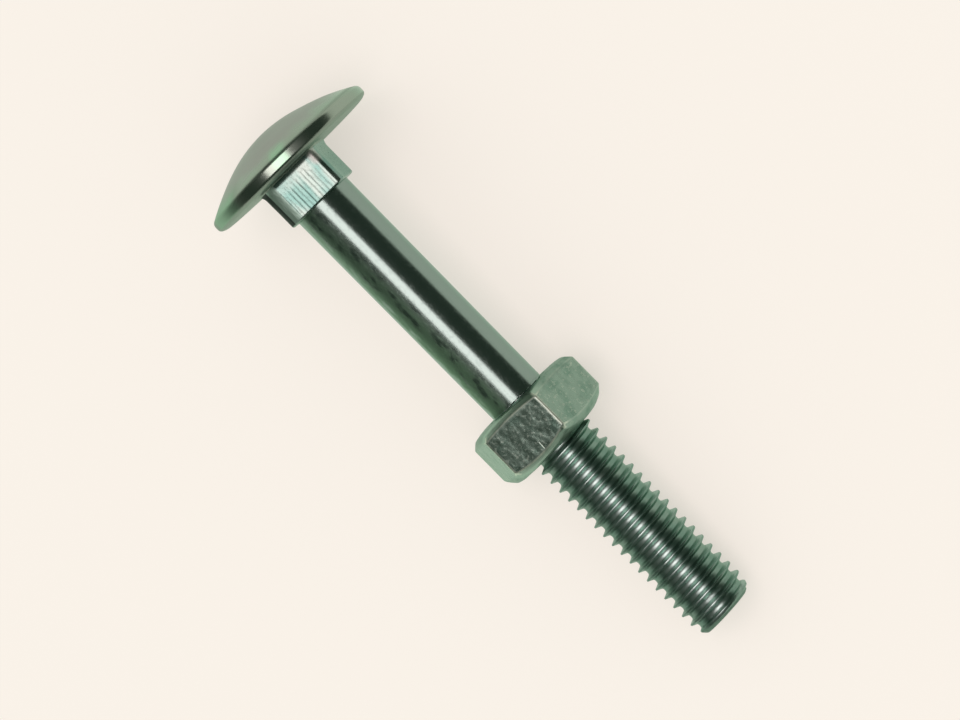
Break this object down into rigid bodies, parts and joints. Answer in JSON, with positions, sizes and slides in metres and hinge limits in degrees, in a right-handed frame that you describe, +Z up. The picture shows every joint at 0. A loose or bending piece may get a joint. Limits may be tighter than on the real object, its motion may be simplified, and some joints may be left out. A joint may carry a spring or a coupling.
{
  "type": "carriage bolt",
  "caption": "Domed round-head bolt with a square neck under the head, plain shank and rolled thread, with a hexagon nut on the thread; lies on its side.",
  "frame": {"origin": "on the ground, under the middle of the assembly's bounding box", "axes": "+X from the head towards the thread's end, +Z up; the bolt lies on its side on the rim of its head and one flat of the nut, so its axis dips about 5.7 degrees below +X"},
  "size_m": [0.0534, 0.016, 0.0161],
  "materials": {
    "bolt_zinc": "bright zinc plating with a faint green passivation, smooth and glossy",
    "nut_zinc": "zinc plating over a tumbled surface, duller, speckled and lightly scratched"
  },
  "bodies": {
    "bolt": {"carriage_bolt": "bolt_zinc"},
    "nut": {"hex_nut": "nut_zinc"}
  },
  "joints": [
    {"name": "nut_travel", "type": "slide", "parent": "bolt", "child": "nut", "axis": [0.9951, 0, -0.099], "range_m": [0, 0.019]}
  ]
}
